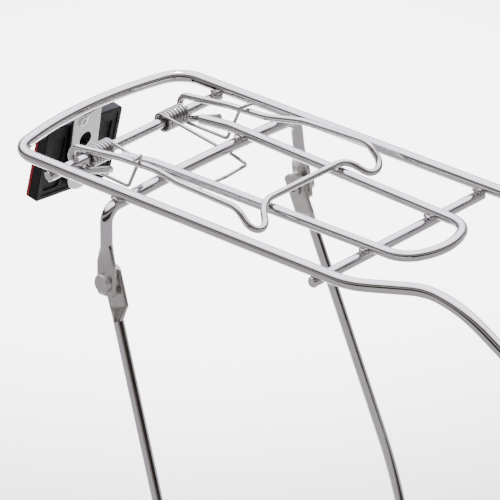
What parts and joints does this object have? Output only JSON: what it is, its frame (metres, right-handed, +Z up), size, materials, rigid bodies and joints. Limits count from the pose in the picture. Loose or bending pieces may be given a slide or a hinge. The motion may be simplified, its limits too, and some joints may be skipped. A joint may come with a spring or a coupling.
{
  "type": "bicycle rear rack",
  "caption": "Chromed steel rear rack for a cruiser bicycle, with a sprung wire clip, swinging axle stays and a red reflector under its rear hoop.",
  "frame": {"origin": "centre between the two front eyes, on the axis of the bolts that hold them to the seat stays", "axes": "+X towards the front of the bicycle, +Y to its left, +Z up"},
  "size_m": [0.4551, 0.2076, 0.4279],
  "materials": {
    "chromed_rod": "bright chrome plate on steel rod",
    "chromed_wire": "bright plated wire, slightly softer than the rods",
    "spring_steel": "drawn spring wire with fine draw lines",
    "weld_metal": "plated weld bead",
    "plated_fastener": "turned steel, plated, satin",
    "black_plastic": "fine moulded grain, satin",
    "red_lens": "clear red acrylic, glossy"
  },
  "bodies": {
    "rack_frame": {"outer_frame": "chromed_rod", "inner_rail": "chromed_rod", "pivot_rod": "chromed_rod", "leg_hoop": "chromed_rod", "front_crossbar": "chromed_rod", "weld_beads": "weld_metal", "clip_spring": "spring_steel", "reflector_bracket": "chromed_rod", "reflector_housing": "black_plastic", "reflector_lens": "red_lens", "reflector_stud": "plated_fastener", "reflector_washer": "plated_fastener", "reflector_nut": "plated_fastener", "right_stay_bolt": "plated_fastener", "right_head_washer": "plated_fastener", "right_spacer_a": "plated_fastener", "right_spacer_b": "plated_fastener", "right_stay_nut": "plated_fastener", "left_stay_bolt": "plated_fastener", "left_head_washer": "plated_fastener", "left_spacer_a": "plated_fastener", "left_spacer_b": "plated_fastener", "left_stay_nut": "plated_fastener"},
    "clip": {"clip_arm": "chromed_wire"},
    "right_stay_body": {"right_stay": "chromed_rod"},
    "left_stay_body": {"left_stay": "chromed_rod"}
  },
  "joints": [
    {"name": "clip_hinge", "type": "hinge", "parent": "rack_frame", "child": "clip", "pos_m": [-0.382, 0, 0.04845], "axis": [0, -1, 0], "range_deg": [0, 100], "stiffness_Nm_per_rad": 1.7, "springref_deg": -29.79, "deforming": ["clip_spring"]},
    {"name": "right_stay_hinge", "type": "hinge", "parent": "rack_frame", "child": "right_stay_body", "pos_m": [-0.32235, -0.08909, 0.0002], "axis": [0, -0.9969, 0.0785], "range_deg": [-110, 65]},
    {"name": "left_stay_hinge", "type": "hinge", "parent": "rack_frame", "child": "left_stay_body", "pos_m": [-0.32235, 0.08909, 0.0002], "axis": [0, -0.9969, -0.0785], "range_deg": [-110, 65]}
  ]
}
